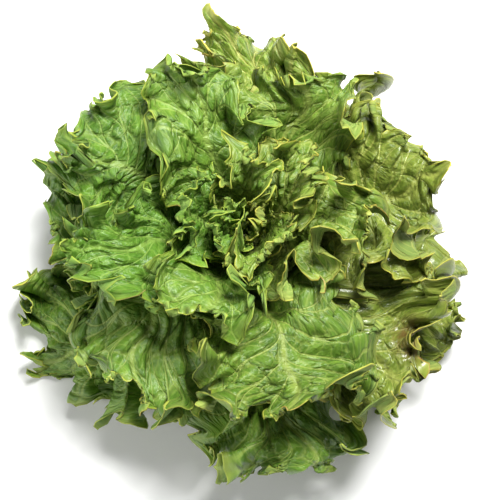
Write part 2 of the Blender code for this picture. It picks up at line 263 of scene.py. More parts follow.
def knots(leaf):
    """The lobes and notches round a leaf: s, how far each reaches, and which way it is bent."""
    rng = np.random.default_rng(SEED + leaf["number"])
    on_one_side = 2 * leaf["lobes"]
    half = on_one_side + STALK_KNOTS
    count = np.arange(-half, half + 1)
    on_blade = np.abs(count) <= on_one_side
    drift = rng.uniform(-KNOT_PLAY, KNOT_PLAY, len(count)) * on_blade
    drift[half] = 0
    share = (count + drift) / on_one_side
    beyond = (np.abs(count) - on_one_side) / STALK_KNOTS
    on_stalk = np.sign(count) * (BLADE_END + (1 - BLADE_END) * beyond)
    s = np.where(on_blade, share * BLADE_END, on_stalk)
    lobe = count % 2 == 0
    fade = 1 - smooth(*FRILL_FADE, np.abs(s))
    lobe_reach = rng.uniform(*LOBE_REACH, len(count))
    notch_reach = rng.uniform(*NOTCH_REACH, len(count))
    side = np.where(count % 4 == 0, 1, -1)
    side = np.where(rng.uniform(size=len(count)) < LOBES_IN_TURN, side, -side)
    lobe_bend = side * rng.uniform(*LOBE_BEND, len(count))
    notch_bend = rng.uniform(*NOTCH_BEND, len(count))
    reach = np.where(lobe, lobe_reach, notch_reach)
    return s, reach * fade, np.where(lobe, lobe_bend, notch_bend) * fade


print("knots round the first leaf:", len(knots(leaves[0])[0]))

# %% [markdown]
# ## The margin between the knots
#
# The margin of the real leaf is torn into small pointed teeth with round bays between them, large
# ones and tiny ones mixed. Here a jagged line gives them, one tooth after the other, each with a
# seeded length and height. They are scaled with the leaf, so small leaves have small teeth.

# %% Margin
MARGIN_SEED = 900
LOBE_POWER = 1.4
BLADE_FADE = (0.66, 0.82)
WAVES = 5
WAVES_HEIGHT = 2.2

# Shortest and longest tooth in knots, and lowest and highest in millimetres.
TEETH = ((0.50, 1.15, 1.5, 5.5), (0.20, 0.42, 0.2, 1.5))
TEETH_POWER = 1.8
TEETH_DROP = 1.6
TEETH_SCALE = 1.15
WIDE_KNOT = 10 * MM


def waves(rng, x, slowest, fastest):
    """A smooth random line of about unit height, from a few sines of seeded pace and phase."""
    frequency = rng.uniform(slowest, fastest, WAVES)
    phase = rng.uniform(0, 2 * math.pi, WAVES)
    return sum(np.sin(f * x + p) for f, p in zip(frequency, phase)) / WAVES_HEIGHT


def spikes(rng, x, shortest, longest, lowest, highest):
    """A jagged line along x: seeded teeth, and round bays between them that go down to zero."""
    count = 4 + 2 * int((x[-1] - x[0]) / (2 * shortest))
    place = x[0] + np.cumsum(rng.uniform(shortest, longest, 2 * count) / 2)
    climb = np.interp(x, place, np.arange(2 * count) % 2)
    tooth = np.maximum(np.searchsorted(place, x) - 1, 0) // 2
    return rng.uniform(lowest, highest, count + 1)[tooth] * climb**TEETH_POWER


def margin(leaf, per_knot):
    """The margin between the knots: place k, s, reach and bend of every ray, and its teeth."""
    rng = np.random.default_rng(MARGIN_SEED + leaf["number"])
    s, reach, bend = knots(leaf)
    half = len(s) // 2
    k = np.linspace(-half, half, 2 * half * per_knot + 1)
    before = np.clip(np.floor(k).astype(int), -half, half - 1)
    part = k - before
    first, second = before + half, before + half + 1
    to_lobe = np.where(before % 2 == 0, 1 - part, part) ** LOBE_POWER
    lobe = np.where(before % 2 == 0, first, second)
    notch = np.where(before % 2 == 0, second, first)
    blend = (1 - np.cos(math.pi * part)) / 2
    k_to_s = np.interp(k, np.arange(-half, half + 1), s)
    blade = 1 - smooth(*BLADE_FADE, np.abs(k_to_s))
    length = np.hypot(*np.diff(outline(leaf, np.abs(k_to_s)), axis=1)).sum()
    small = TEETH_SCALE * length / (2 * half) / WIDE_KNOT
    teeth = sum(spikes(rng, k, *kind) for kind in TEETH)
    return {
        "k": k,
        "s": k_to_s,
        "reach": reach[notch] + (reach[lobe] - reach[notch]) * to_lobe,
        "bend": bend[first] + (bend[second] - bend[first]) * blend,
        "teeth": (teeth - TEETH_DROP) * small * blade * MM,
        "blade": blade,
        "small": small,
    }


edge = margin(leaves[0], 12)
print("rays:", len(edge["k"]), "with teeth up to %.1f mm" % (edge["teeth"].max() / MM))

# %% [markdown]
# ## Rays from the midrib to the margin
#
# The blade is a fan of rays that leave the midrib like side veins. Each ray is walked in short
# steps, and turning the steps up, down or sideways curls the outer blade, so that no ray gets
# longer where it curls. The big frill is the CAD's, and a sideways swing folds its ruffles over
# each other.

# %% Rays
SWING_SEED = 700
RAY_STEPS = 80
LAST_RAY_START = 0.80
RAY_START_POWER = 1.25
RAY_SWEEP_POWER = 1.12
STRETCH_FROM = 0.55
TEETH_FROM = 0.90
EARLY_BEND = 0.35
EARLY_BEND_OVER = (0.2, 0.6)
LATE_BEND_OVER = (0.5, 1.0)
EVEN_SWING = 0.30
SEEDED_SWING = 0.12
SWING_OVER = (0.5, 0.95)


def blade_rays(leaf, edge, rows):
    """Every ray as x, y and h, and its even place on the flat leaf before it was bent."""
    rng = np.random.default_rng(SWING_SEED + leaf["number"])
    k, s, blade = edge["k"], edge["s"], edge["blade"]
    x_rim, y_rim = outline(leaf, np.abs(s))
    x_rim = x_rim * np.sign(s)
    y_start = LAST_RAY_START * leaf["length"] * (1 - np.abs(s)) ** RAY_START_POWER
    fine = np.linspace(0, 1, RAY_STEPS + 1)
    x_even = x_rim[:, None] * fine**RAY_SWEEP_POWER
    y_even = y_start[:, None] + (y_rim - y_start)[:, None] * (1 - (1 - fine) ** RAY_START_POWER)
    dx, dy = np.diff(x_even, axis=1), np.diff(y_even, axis=1)
    middle = (fine[1:] + fine[:-1]) / 2
    step = np.hypot(dx, dy)
    stretch = 1.0
    for reach, start in ((edge["reach"], STRETCH_FROM), (edge["teeth"], TEETH_FROM)):
        weight = smooth(start, 1.0, middle)
        stretch = stretch + reach[:, None] * weight / (weight * step).sum(1)[:, None]
    early, late = smooth(*EARLY_BEND_OVER, middle), smooth(*LATE_BEND_OVER, middle)
    angle = edge["bend"][:, None] * (EARLY_BEND * early + (1 - EARLY_BEND) * late)
    seeded = SEEDED_SWING * waves(rng, k, 0.3, 1.2)
    swing = -(EVEN_SWING * np.sin(math.pi * k) + seeded) * blade
    swing = swing[:, None] * smooth(*SWING_OVER, middle)
    ex = dx * np.cos(swing) - dy * np.sin(swing)
    ey = dy * np.cos(swing) + dx * np.sin(swing)

    def summed(steps, start):
        run = np.concatenate([np.zeros((len(k), 1)), np.cumsum(steps, axis=1)], 1)
        return np.stack([np.interp(rows, fine, ray) for ray in start[:, None] + run])

    zero = np.zeros(len(k))
    flat = np.cos(angle) * stretch
    x = summed(ex * flat, zero)
    y = summed(ey * flat, y_start)
    h = summed(np.sin(angle) * stretch * step, zero) + leaf["tilt"] * x
    return x, y, h, summed(dx, zero), summed(dy, y_start)


bent = blade_rays(leaves[0], edge, np.linspace(0, 1, 30))[2]
print("the first leaf is bent up or down by %.0f mm at most" % (np.abs(bent).max() / MM))

# %% [markdown]
# ## Ruffles on ruffles
#
# The margin of a curly leaf is fractal: small ruffles ride on the sides of larger ones. So each
# finer set is added along the local normal of the surface made so far, and a sideways part at twice
# the pace folds it over, which turns a plain wave into the loops seen along a lettuce margin.

# %% Ruffles
# Wavelength in knots, height and sideways swing in millimetres, and where on a ray it starts.
RUFFLES = ((1.30, 3.8, 1.4, 0.58), (0.50, 1.2, 0.4, 0.82))
RUFFLE_SEED = 300
RUFFLE_DRIFT = 1.3
RUFFLE_STRENGTH = 0.75
RUFFLE_PLAY = 0.45

# The usual length of a knot, and the wavelengths between which a ruffle fades in, in millimetres.
KNOT_LENGTH = 8.7
RUFFLE_LENGTHS = (2.2, 4.2)


def directions(surface):
    """Unit vectors along the margin and out of the blade at every point of the grid of rays."""
    along = np.gradient(surface, axis=0)
    outward = np.gradient(surface, axis=1)
    along /= np.linalg.norm(along, axis=-1, keepdims=True) + 1e-9
    normal = np.cross(outward, along)
    normal /= np.linalg.norm(normal, axis=-1, keepdims=True) + 1e-9
    return along, normal


def ruffled(leaf, surface, edge, t):
    """The surface with finer ruffles on it."""
    rng = np.random.default_rng(RUFFLE_SEED + leaf["number"])
    k, blade = edge["k"], edge["blade"]
    for wavelength, height, sideways, start in RUFFLES:
        drift = RUFFLE_DRIFT * waves(rng, k, 0.5, 1.6 / wavelength)
        phase = 2 * math.pi * k / wavelength + drift
        strength = (RUFFLE_STRENGTH + RUFFLE_PLAY * waves(rng, k, 0.4, 1.2)) * blade * edge["small"]
        strength = strength * smooth(*RUFFLE_LENGTHS, wavelength * KNOT_LENGTH * edge["small"])
        weight = smooth(start, 1.0, t) * MM
        along, normal = directions(surface)
        out = height * (strength * np.sin(phase))[:, None] * weight
        side = -sideways * (strength * np.sin(2 * phase))[:, None] * weight
        surface = surface + normal * out[..., None] + along * side[..., None]
    return surface


print("ruffles of", [ruffle[1] for ruffle in RUFFLES], "mm")

# %% [markdown]
# ## Room between the leaves
#
# How far a point may stand off its layer is held to the room between it and the neighbouring
# leaves, half the gap for each, and to the table. The hold is soft, so a ruffle that meets its
# limit flattens against it like a leaf pressed by the one above.

# %% Room
CLEARANCE = 1.8 * MM
MOST_PUSH = 4.0 * MM
OPEN_AIR = 40 * MM
LEAF_OVER_TABLE = 1.0 * MM
FOOT_PLAY = 0.3 * MM
BLADE = 0.8 * MM
RIB_DEPTH = 3.2 * MM
RIB_WIDTH = 6.0 * MM
RIB_END_WIDTH = 1.5 * MM
RIB_POWER = 1.2
INNER_RIB_DEPTH = 0.45
INNER_RIB_WIDTH = 0.5
MOST_WRAP = math.radians(125)
OUTLINE_STEPS = 60
BESIDE_LEAF = (5 * MM, 20 * MM)
BEYOND_TIP = (8 * MM, 22 * MM)
OFF_STEM_SLOPE = 0.4
STEEPEST = 0.3
EASE_SHARE = 0.3
EASE = (0.05 * MM, 2 * MM)


def turn_round(leaf, x, y):
    """Azimuth of a point of the flat leaf. A wide leaf wraps the heart, but not all the way."""
    radius = on_line(leaf["line"], y)[0]
    wrap = MOST_WRAP * np.tanh(x / radius / MOST_WRAP)
    return leaf["azimuth"] + wrap + leaf["bend"] * (y / leaf["length"]) ** 2


def rib_depth(leaf, x, y):
    """How far the midrib stands out below the blade."""
    along = np.clip(1 - y / leaf["length"], 0, 1)
    depth = RIB_DEPTH * (1 - (1 - INNER_RIB_DEPTH) * leaf["layer"]) * along**RIB_POWER
    width = RIB_WIDTH * (1 - (1 - INNER_RIB_WIDTH) * leaf["layer"]) * along + RIB_END_WIDTH
    return depth * np.exp(-((x / width) ** 2))


def seen_from(other, azimuth, y, radius):
    """How far a point lies beside another leaf's midrib, and how well that leaf covers it."""
    x_rim, y_rim = outline(other, np.linspace(1, 0, OUTLINE_STEPS))
    centre = other["azimuth"] + other["bend"] * (y / other["length"]) ** 2
    off = np.abs((azimuth - centre + math.pi) % (2 * math.pi) - math.pi) * radius
    beside = 1 - smooth(*BESIDE_LEAF, off - np.interp(y, y_rim, x_rim))
    return off, beside * (1 - smooth(*BEYOND_TIP, y - other["length"]))


def room(leaf, azimuth, x, y):
    """The least and most that a point may stand off its layer."""
    radius, height, slope = on_line(leaf["line"], y)
    own_rib = rib_depth(leaf, x, y)
    least = -(height - LEAF_OVER_TABLE - BLADE - own_rib) / np.maximum(np.cos(slope), STEEPEST)
    most = np.full(y.shape, OPEN_AIR)
    for other, gap, beside in leaf["neighbours"]:
        gap_here = np.interp(y, leaf["line"]["reach"], gap)
        y_there = np.interp(y, leaf["line"]["reach"], beside)
        off, covered = seen_from(other, azimuth, y_there, radius)
        open_air = (1 - covered) * OPEN_AIR
        if other["number"] > leaf["number"]:
            apart = CLEARANCE + rib_depth(other, off, y_there)
            most = np.minimum(most, np.maximum((gap_here - apart) / 2, -MOST_PUSH) + open_air)
        else:
            apart = CLEARANCE + own_rib
            least = np.maximum(least, np.minimum((gap_here + apart) / 2, MOST_PUSH) - open_air)
    off_stem = FOOT_PLAY + OFF_STEM_SLOPE * y
    return np.minimum(least, off_stem), np.minimum(most, off_stem)


def held_within(h, least, most):
    """h eased so that it keeps between the least and the most that there is room for."""
    ease = np.clip(EASE_SHARE * (most - least), *EASE)
    below = most - ease * np.logaddexp(0, (most - h) / ease)
    return least + ease * np.logaddexp(0, (below - least) / ease)


middle = np.full(3, 70 * MM)
least, most = room(leaves[6], np.full(3, leaves[6]["azimuth"]), np.zeros(3), middle)
print("room at the middle of leaf 7: %.1f to %.1f mm" % (least[0] / MM, most[0] / MM))

# %% [markdown]
# ## Veins and blisters
#
# Side veins run to the lobes and fork on the way. Between the veins the blade grows faster than
# they do, so it puffs up in cells. The cells are found as in a Voronoi pattern: scattered centres,
# and the distance to the nearest two of them. Where the two are equally near, two cells meet in a
# groove. Small cells ride on the large ones.

# %% Veins and cells
FORK = (0.26, 0.95)
FORK_SPREAD = 0.9
BLISTER = 5.5 * MM
SCATTERED = 61
SCATTER = (0.08, 0.92)

# Large cells in millimetres on the lowest and the innermost leaf, and the pattern's warp.
CELL_SIZES = (15.0, 9.0)
SMALL_CELL = 0.42
CELL_SEEDS = (40, 80)
CELL_WARP = 3.0 * MM
WARP_LENGTHS = (19 * MM, 16 * MM)

# Share in the height and width of the groove: large cells, small cells and veins.
LARGE_PUFF = (0.80, 2.6 * MM)
SMALL_PUFF = (0.20, 1.2 * MM)
VEIN_GROOVE = (0.75, 2.6 * MM)
PUFFS_START = (0.05, 0.22)
PUFFS_END = (0.8, 1.0)
RIM_FLATTER = 0.6


def cell_gap(x, y, size, seed):
    """How much nearer the nearest cell centre is than the next: 0 in the groove between two."""
    scatter = np.random.default_rng(seed).uniform(*SCATTER, (SCATTERED, SCATTERED, 2))
    column, row = np.floor(x / size), np.floor(y / size)
    first = np.full(x.shape, np.inf)
    second = np.full(x.shape, np.inf)
    for across in (-1, 0, 1):
        for along in (-1, 0, 1):
            c, r = (column + across).astype(int), (row + along).astype(int)
            centre = scatter[c % SCATTERED, r % SCATTERED]
            away = np.hypot((c + centre[..., 0]) * size - x, (r + centre[..., 1]) * size - y)
            second = np.minimum(second, np.maximum(first, away))
            first = np.minimum(first, away)
    return second - first


def vein_distance(k, t, spacing):
    """Distance to the nearest side vein, one to a lobe, or to one of its two forks."""
    beside = np.abs(k - 2 * np.round(k / 2))
    fork = np.abs(beside - FORK_SPREAD * smooth(*FORK, t)) + (t < FORK[0])
    return np.minimum(beside, fork) * spacing


def puff(gap, share, groove):
    return share * (1 - np.exp(-gap / groove))


def relief(leaf, k, t, x, y, blade):
    """Blisters as a height, and what the colour needs: cells, distance to a vein and spacing."""
    spacing = np.hypot(np.gradient(x, axis=0), np.gradient(y, axis=0)) / np.gradient(k)[:, None]
    vein = vein_distance(k[:, None], t, spacing)
    outer, inner = CELL_SIZES
    size = (outer + (inner - outer) * leaf["layer"]) * MM
    warp = CELL_WARP * np.sin(x / WARP_LENGTHS[0] + leaf["number"]) * np.sin(y / WARP_LENGTHS[1])
    large_seed, small_seed = (seed + leaf["number"] for seed in CELL_SEEDS)
    large = cell_gap(x + warp, y - warp, size, large_seed)
    small = cell_gap(x - warp, y, SMALL_CELL * size, small_seed)
    puffed = puff(large, *LARGE_PUFF) + puff(small, *SMALL_PUFF)
    sunk, groove = VEIN_GROOVE
    puffed = puffed * (1 - sunk * np.exp(-((vein / groove) ** 2)))
    puffed = puffed * smooth(*PUFFS_START, t) * (1 - RIM_FLATTER * smooth(*PUFFS_END, t)) * blade
    return puffed, large, vein, spacing


print("blisters up to %.1f mm high" % (BLISTER / MM))

# %% [markdown]
# ## Crumpling the whole head
#
# Leaves that are packed together crumple together: a dent in one is a dent in the next. So the last
# folds aren't drawn leaf by leaf. All of space is moved along a gentle flow, in a few small steps,
# and every leaf is carried with it. Such a flow can't make one leaf cross another. The long folds
# are the same as the CAD's, and the short creases after them are only here.

# %% Crumple
FLOW_STEPS = 4
FLOW_OFF_STEM = (18 * MM, 55 * MM)
FLOW_OFF_TABLE = 22 * MM


def flow(seed, count, shortest, longest, size):
    """Seeded waves of a flow that neither gathers nor thins out: each pushes across its own run."""
    rng = np.random.default_rng(seed)
    run = rng.normal(size=(count, 3))
    run /= np.linalg.norm(run, axis=1)[:, None]
    push = np.cross(run, rng.normal(size=(count, 3)))
    push *= size / np.linalg.norm(push, axis=1)[:, None] / math.sqrt(count / 2)
    run *= 2 * math.pi / rng.uniform(shortest, longest, count)[:, None]
    return run, push, rng.uniform(0, 2 * math.pi, count)


FOLDS = flow(6, 12, 60 * MM, 100 * MM, 11.0 * MM)
CREASES = flow(8, 18, 24 * MM, 44 * MM, 3.2 * MM)


def crumpled(points, waves_of):
    """Points carried along the flow, which fades out at the stem and at the table."""
    run, push, phase = waves_of
    shape = points.shape
    points = points.reshape(-1, 3)
    for _ in range(FLOW_STEPS):
        move = np.cos(points @ run.T + phase) @ push / FLOW_STEPS
        move *= smooth(*FLOW_OFF_STEM, np.hypot(points[:, 0], points[:, 1]))[:, None]
        move[:, 2] *= smooth(0, FLOW_OFF_TABLE, points[:, 2])
        points = points + move
    return points.reshape(shape)


moved = crumpled(crumpled(np.array([[0.1, 0.0, 0.05]]), FOLDS), CREASES)
print("a point 100 mm out moves to", moved.round(3))

# %% [markdown]
# ## What is special to one leaf
#
# The leaves of one head aren't all one green. A few outer ones are made paler or yellower than the
# rest; for outer_leaf_01 and outer_leaf_08 this is painted light, which lifts leaves that lie in
# shade.
# The heart is greener on its left side than on its right. One leaf has a browned patch where it was
# bruised. Both are stored on the points of the leaf, so that one material serves many leaves and
# only has to read them.

# %% Tints and a bruise
BRUISED = "outer_leaf_07"
BRUISE_AT = (0.099, -0.066)
BRUISE_EDGE = (4 * MM, 15 * MM)
BRUISE_WIDTH_SHARE = 0.7
GREENER_LEFT = (0.34, 0.10, 0.25)
# Shares that make some outer leaves paler; those of outer_leaf_01 and outer_leaf_08 are painted
# light that lifts leaves lying in shade.
TINTS = {
    "outer_leaf_01": (1.25, 1.15, 1.2),
    "outer_leaf_04": (1.2, 1.1, 1.1),
    "outer_leaf_08": (1.9, 1.35, 1.8),
    "outer_leaf_09": (1.15, 1.05, 1.1),
    "outer_leaf_12": (1.12, 0.97, 1.0),
}


def bruised(leaf, points):
    """A browned patch on one leaf, about 20 mm across, as a mask that fades out."""
    if leaf["name"] != BRUISED:
        return np.zeros(points.shape[:-1])
    x, y = points[..., 0] - BRUISE_AT[0], points[..., 1] - BRUISE_AT[1]
    return 1 - smooth(*BRUISE_EDGE, np.hypot(x, y * BRUISE_WIDTH_SHARE))


def leaf_tint(leaf):
    """Red, green and blue of a leaf as shares of its material's: the heart's left is greener."""
    if leaf["name"].startswith("outer"):
        return np.array(TINTS.get(leaf["name"], (1.0, 1.0, 1.0)))
    to_left = 0.5 - 0.5 * math.cos(leaf["azimuth"])
    return 1 - to_left * np.array(GREENER_LEFT)


print("tinted leaves:", len(TINTS), "bruised:", BRUISED)

# %% [markdown]
# ## From rays to a solid leaf
#
# The rays crowd together at the midrib, so the mesh uses every fourth ray there, every second one
# further out and all of them near the margin. A strip of threes joins each zone to the next. The
# same triangles, turned over and moved down by the thickness, make the underside, and a band round
# the margin closes the solid.

# %% Leaf mesh
def ray_numbers(columns, rows):
    """Vertex numbers of the grid of rays. Both halves of the leaf share the midrib's vertices."""
    number = np.arange(columns * rows).reshape(columns, rows)
    half = columns // 2
    number[:half, 0] = number[::-1, 0][:half]
    return number


def strip(number, row, here, beyond):
    """Triangles between two rows, where the outer row has as many rays or twice as many."""
    left, right = number[:-here:here, row], number[here::here, row]
    far_left, far_right = number[:-here:here, row + 1], number[here::here, row + 1]
    if here == beyond:
        odd = (np.arange(len(left)) - len(left) // 2 + row) % 2 == 0
        one = np.where(odd, (left, far_right, right), (left, far_left, right))
        two = np.where(odd, (left, far_left, far_right), (right, far_left, far_right))
        return np.concatenate([one, two], 1).T
    between = number[beyond::here, row + 1]
    fan = (left, far_left, between), (left, between, right), (right, between, far_right)
    return np.concatenate(fan, 1).T


def blade_faces(number, zones):
    faces = []
    for row in range(number.shape[1] - 1):
        here = next(step for end, step in zones if row < end)
        beyond = next((step for end, step in zones if row + 1 < end), 1)
        faces.append(strip(number, row, here, beyond))
    return np.concatenate(faces)


def packed_grid(columns, rows, zones):
    """Faces and margin of the grid of rays, numbered without gaps, and the points they use."""
    number = ray_numbers(columns, rows)
    faces = blade_faces(number, zones)
    rim = [*number[:, -1], *number[-1, -2::-1], *number[0, 1:-1]]
    used, packed = np.unique(np.concatenate([faces.ravel(), rim]), return_inverse=True)
    return packed[: faces.size].reshape(-1, 3), packed[faces.size :].tolist(), used


def closed(upper, faces, depth, rim):
    """The blade's underside and rim added to its upper face."""
    one, two, three = upper[faces.T]
    across = np.cross(two - one, three - one)
    normal = np.zeros_like(upper)
    for corner in range(3):
        np.add.at(normal, faces[:, corner], across)
    normal /= np.maximum(np.linalg.norm(normal, axis=1), 1e-12)[:, None]
    below = len(upper)
    band = []
    for a, b in zip(rim, rim[1:] + rim[:1]):
        band += [(a, b + below, b), (a, a + below, b + below)]
    under = faces[:, [0, 2, 1]] + below
    return np.vstack([upper, upper - normal * depth[:, None]]), np.vstack([faces, under, band])


print("a grid of 9 by 4 points has", len(packed_grid(9, 4, ((1, 2), (99, 1)))[0]), "triangles")

# %% [markdown]
# ## One fine leaf
#
# Here all of it comes together. The rays are ruffled, held within their room, puffed up, laid on
# the leaf's layer and crumpled. What the colour needs is stored on the points: where each lies on
# the flat leaf, which lobe it is near, and how far it is from the margin and from the next cell.

# %% Leaf piece
THICKNESS = 0.45 * MM
ROWS_POWER = 1.35
LEAST_PUFF_ROOM = 0.8 * MM
PUFF_ROOM_SHARE = 0.6
VEIN_RIDGE = 0.5 * MM
VEIN_RIDGE_WIDTH = 0.9 * MM
STALK = (0.05, 0.42)
STALK_SPACING = 9
STALK_RIM = 20 * MM
PATTERNS_APART = 0.3


def leaf_points(leaf, x, y, h, puffed):
    """Points of the upper face in the head, from where they are on the flat leaf."""
    azimuth = turn_round(leaf, x, y)
    least, most = room(leaf, azimuth, x, y)
    h = held_within(h, least, most)
    h = h + puffed * np.clip(LEAST_PUFF_ROOM + PUFF_ROOM_SHARE * (most - h), 0.0, BLISTER)
    radius, height, slope = on_line(leaf["line"], y)
    radius = radius - h * np.sin(slope)
    height = height + h * np.cos(slope)
    points = np.stack([radius * np.cos(azimuth), radius * np.sin(azimuth), height], -1)
    return crumpled(crumpled(points, FOLDS), CREASES)


def rim_distance(points):
    """How far each point is from the margin, measured along its ray."""
    step = np.linalg.norm(np.diff(points, axis=1), axis=-1)
    walked = np.cumsum(step[:, ::-1], axis=1)[:, ::-1]
    return np.concatenate([walked, np.zeros((len(points), 1))], 1)


def store(mesh, name, values):
    """Stores one number or vector for each point of a mesh."""
    kind, field = ("FLOAT", "value") if values.ndim == 1 else ("FLOAT_VECTOR", "vector")
    values = values.astype(np.float32).ravel()
    mesh.attributes.new(name, kind, "POINT").data.foreach_set(field, values)


def added(name, data):
    """A new object in the scene with this mesh, light or camera."""
    made = bpy.data.objects.new(name, data)
    bpy.context.scene.collection.objects.link(made)
    return made


def leaf_piece(leaf, per_knot, rows, zones):
    """One fine leaf as an object, with what its material needs stored on its points."""
    edge = margin(leaf, per_knot)
    t = 1 - (1 - np.linspace(0, 1, rows)) ** ROWS_POWER
    x, y, h, flat_x, flat_y = blade_rays(leaf, edge, t)
    k, blade = edge["k"], edge["blade"][:, None]
    t = np.repeat(t[None], len(k), 0)
    x, y, h = np.moveaxis(ruffled(leaf, np.stack([x, y, h], -1), edge, t), -1, 0)
    puffed, cell, vein, spacing = relief(leaf, k, t, flat_x, flat_y, blade)
    points = leaf_points(leaf, x, y, h, puffed)

    faces, rim, used = packed_grid(*x.shape, zones)
    ridge = VEIN_RIDGE * np.exp(-((vein / VEIN_RIDGE_WIDTH) ** 2)) * blade
    depth = THICKNESS + (rib_depth(leaf, flat_x, flat_y) + ridge)
    vertices, faces = closed(points.reshape(-1, 3)[used], faces, depth.ravel()[used], rim)
    mesh = bpy.data.meshes.new(leaf["name"] + "_blade")
    mesh.from_pydata(vertices.tolist(), [], faces.tolist())
    mesh.shade_smooth()
    pattern = np.full(x.shape, PATTERNS_APART * leaf["number"])
    stored = {
        "knot": np.repeat(k[:, None], rows, 1),
        "along": t,
        "spacing": spacing / MM * np.where(blade > 0.05, 1, STALK_SPACING),
        "cell": cell / MM,
        "rim": np.where(blade > 0.3, rim_distance(points), STALK_RIM) / MM,
        "stalk": 1 - smooth(*STALK, flat_y / leaf["length"]),
        "bruise": bruised(leaf, points),
        "place": np.stack([flat_x, flat_y, pattern], -1),
        "tint": np.broadcast_to(leaf_tint(leaf), points.shape),
    }
    for name, values in stored.items():
        values = values.reshape(-1, *values.shape[2:])[used]
        store(mesh, name, np.concatenate([values, values]))
    store(mesh, "under", np.repeat([0.0, 1.0], len(used)))
    return added(leaf["name"] + "_blade", mesh)


print("a leaf is at least %.2f mm thick" % (THICKNESS / MM))

# %% [markdown]
# ## Short ways to write nodes
#
# A material is a net of nodes, and each node needs a few lines to add it and to join its sockets.
# A small class does that, so that one line below stands for one step of the recipe. A socket is
# given either a value or the output of another node.

# %% Node helper
class Net:
    def __init__(self, tree):
        self.tree = tree

    def fill(self, node, values):
        """Gives the inputs of a node, by name or by place, their values."""
        for socket, value in values.items():
            if isinstance(value, bpy.types.NodeSocket):
                self.tree.links.new(value, node.inputs[socket])
            else:
                node.inputs[socket].default_value = value

    def node(self, kind, values=None, **settings):
        """Adds a node, gives its inputs their values and hands back its outputs."""
        made = self.tree.nodes.new("ShaderNode" + kind)
        for name, value in settings.items():
            setattr(made, name, value)
        self.fill(made, values or {})
        return made.outputs

    def math(self, operation, one, two=0.0):
        return self.node("Math", {0: one, 1: two}, operation=operation)[0]

    def plus(self, one, two):
        return self.math("ADD", one, two)

    def times(self, one, two):
        return self.math("MULTIPLY", one, two)

    def ramp(self, value, low, high, to_low=0.0, to_high=1.0):
        """A smooth step from low to high."""
        values = dict(enumerate((value, low, high, to_low, to_high)))
        return self.node("MapRange", values, interpolation_type="SMOOTHSTEP")[0]

    def mix(self, share, one, two, how="MIX"):
        values = {"Factor": share, 6: one, 7: two}
        return self.node("Mix", values, data_type="RGBA", blend_type=how)[2]

    def noise(self, place, scale, detail=2.0, roughness=0.5):
        values = {"Vector": place, "Scale": scale, "Detail": detail, "Roughness": roughness}
        return self.node("TexNoise", values)

def new_material(name):
    """A material, the net of its nodes, and its shader."""
    material = bpy.data.materials.new(name)
    material.use_nodes = True
    return material, Net(material.node_tree), material.node_tree.nodes["Principled BSDF"]


print("node helper:", Net.__name__)

# %% [markdown]
# ## A node group for leaf colour
#
# One group makes the colour and the fine relief of every leaf, and each material gives it its own
# greens. It paints highlights on the tops of the blisters and on the crests of the fine grain, and
# paints shade in the dents of the crumpled relief. It mottles the blade, draws the veins as pale
# lines with a fine net between them, and pales the stalk and the underside. It browns the bruise,
# and puts a thin yellow line on the margin with a few browned tips. The group hands back a colour,
# a height, a roughness and a coat weight, and the material does the shading.

# %% Leaf group
FACTS = ("Knot", "Along", "Spacing", "Cell", "Rim", "Under", "Stalk", "Bruise")
SHADES = ("Blade", "Painted_Highlight", "Veins", "Margin", "Underside")
BRUISE_BROWN = (0.115, 0.060, 0.016, 1.0)
TIP_BROWN = (0.36, 0.20, 0.04, 1.0)

# Scales of the patterns, in cells a metre.
PATCH_SCALE = 45.0
SWAY_SCALE = 55.0
TIP_SCALE = 90.0
BEND_SCALE = 150.0
NET_SCALE = 170.0
CRUMPLE_SCALE = 260.0
GRAIN_SCALE = 700.0

# How far the net is bent, in metres, and the veins, in knots. Forks are drawn thinner than veins.
NET_BEND = 0.004
VEIN_SWAY = 0.9
FORK_THINNER = 1.6


def fine_net(net, place):
    """The fine net between the veins: puffs inside its meshes, and its threads."""
    bend = {0: net.noise(place, BEND_SCALE)["Color"], "Scale": NET_BEND}
    bend = net.node("VectorMath", bend, operation="SCALE")[0]
    bent = net.node("VectorMath", {0: place, 1: bend}, operation="ADD")[0]
    values = {"Vector": bent, "Scale": NET_SCALE}
    distance = net.node("TexVoronoi", values, feature="DISTANCE_TO_EDGE")["Distance"]
    return net.ramp(distance, 0.0, 0.42), net.ramp(distance, 0.0, 0.09, 1.0, 0.0)


def drawn_veins(net, given):
    """A mask of the midrib and of the side veins with their forks, which thin out on their way."""
    along = given["Along"]
    sway = net.times(net.plus(net.noise(given["Place"], SWAY_SCALE, 1.0)["Fac"], -0.5), VEIN_SWAY)
    beside = net.math("PINGPONG", net.plus(given["Knot"], net.times(sway, along)), 1.0)
    fork = net.math("SUBTRACT", beside, net.ramp(along, *FORK, 0.0, FORK_SPREAD))
    main_vein = net.times(beside, given["Spacing"])
    fork_vein = net.times(net.math("ABSOLUTE", fork), net.times(given["Spacing"], FORK_THINNER))
    nearest = net.math("MINIMUM", main_vein, fork_vein)
    nearest = net.math("DIVIDE", nearest, net.ramp(along, 0.0, 1.0, 0.75, 0.35))
    veins = net.ramp(nearest, 0.3, 1.3, 1.0, 0.0)
    veins = net.times(veins, net.ramp(along, 0.6, 1.0, 1.0, 0.5))
    across = net.node("SeparateXYZ", {0: given["Place"]})[0]
    rib = net.ramp(net.math("ABSOLUTE", across), 0.0004, 0.0026, 1.0, 0.0)
    return net.math("MAXIMUM", veins, rib)


def margin_colour(net, given, patch, colour):
    """The colour with a faint yellow band inside the margin and a thin line on it."""
    colour = net.mix(net.ramp(given["Rim"], 0.5, 6.0, 0.18, 0.0), colour, given["Margin"])
    line = net.ramp(given["Rim"], 0.25, 0.85, 0.80, 0.0)
    line = net.times(line, net.ramp(patch, 0.35, 0.60, 0.30, 1.0))
    browned = net.ramp(net.noise(given["Place"], TIP_SCALE, 1.0)["Fac"], 0.60, 0.72)
    return net.mix(line, colour, net.mix(browned, given["Margin"], TIP_BROWN))


